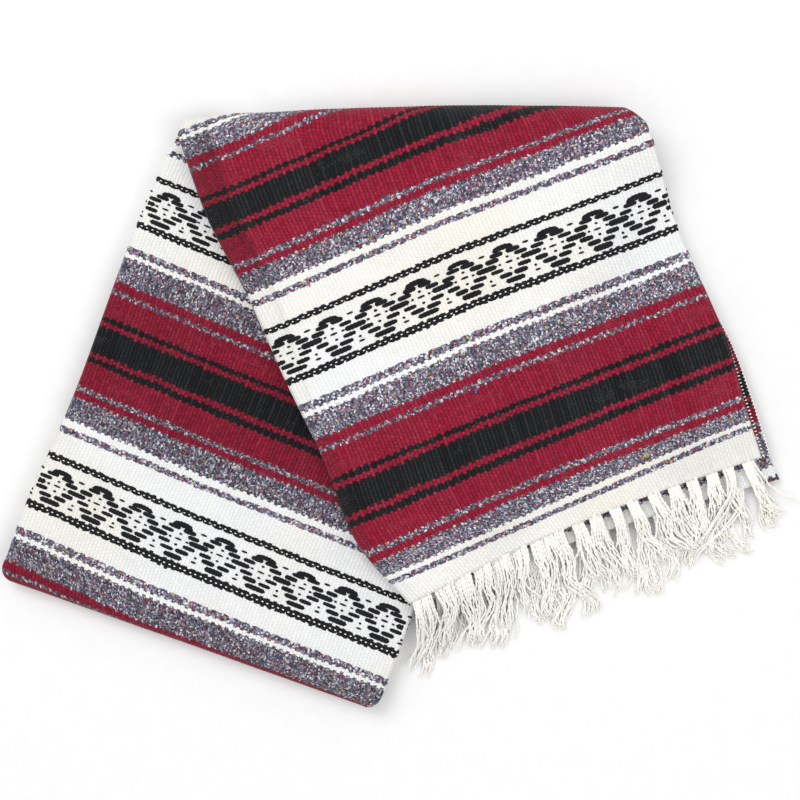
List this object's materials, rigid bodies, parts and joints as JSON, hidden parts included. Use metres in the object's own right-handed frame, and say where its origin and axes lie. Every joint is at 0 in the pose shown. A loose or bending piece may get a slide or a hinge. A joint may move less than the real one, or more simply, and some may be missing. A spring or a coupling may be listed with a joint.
{
  "type": "mexican blanket",
  "caption": "Striped woven blanket with fringed ends, folded into a long strip, doubled over and laid flat with its two legs crossing on the slant.",
  "frame": {"origin": "on the floor, under the middle of the folded blanket's outline", "axes": "+X to the right and +Y up in a view from straight above, with both fringed ends at the lower right; +Z up, square to the floor"},
  "size_m": [0.723, 0.5465, 0.0419],
  "materials": {
    "inner_cloth": "coarse striped weave, matte",
    "upper_cloth": "coarse striped weave, matte",
    "lower_cloth": "coarse striped weave, matte",
    "under_cloth": "coarse weave, matte",
    "top_fringe_cotton": "cotton warp yarn, matte",
    "under_fringe_cotton": "cotton warp yarn, matte"
  },
  "bodies": {
    "root": {"hidden_layers": "inner_cloth", "upper_leg_sheet": "upper_cloth", "lower_leg_sheet": "lower_cloth", "under_hem_sheet": "under_cloth", "top_fringe": "top_fringe_cotton", "under_fringe": "under_fringe_cotton"}
  },
  "joints": []
}
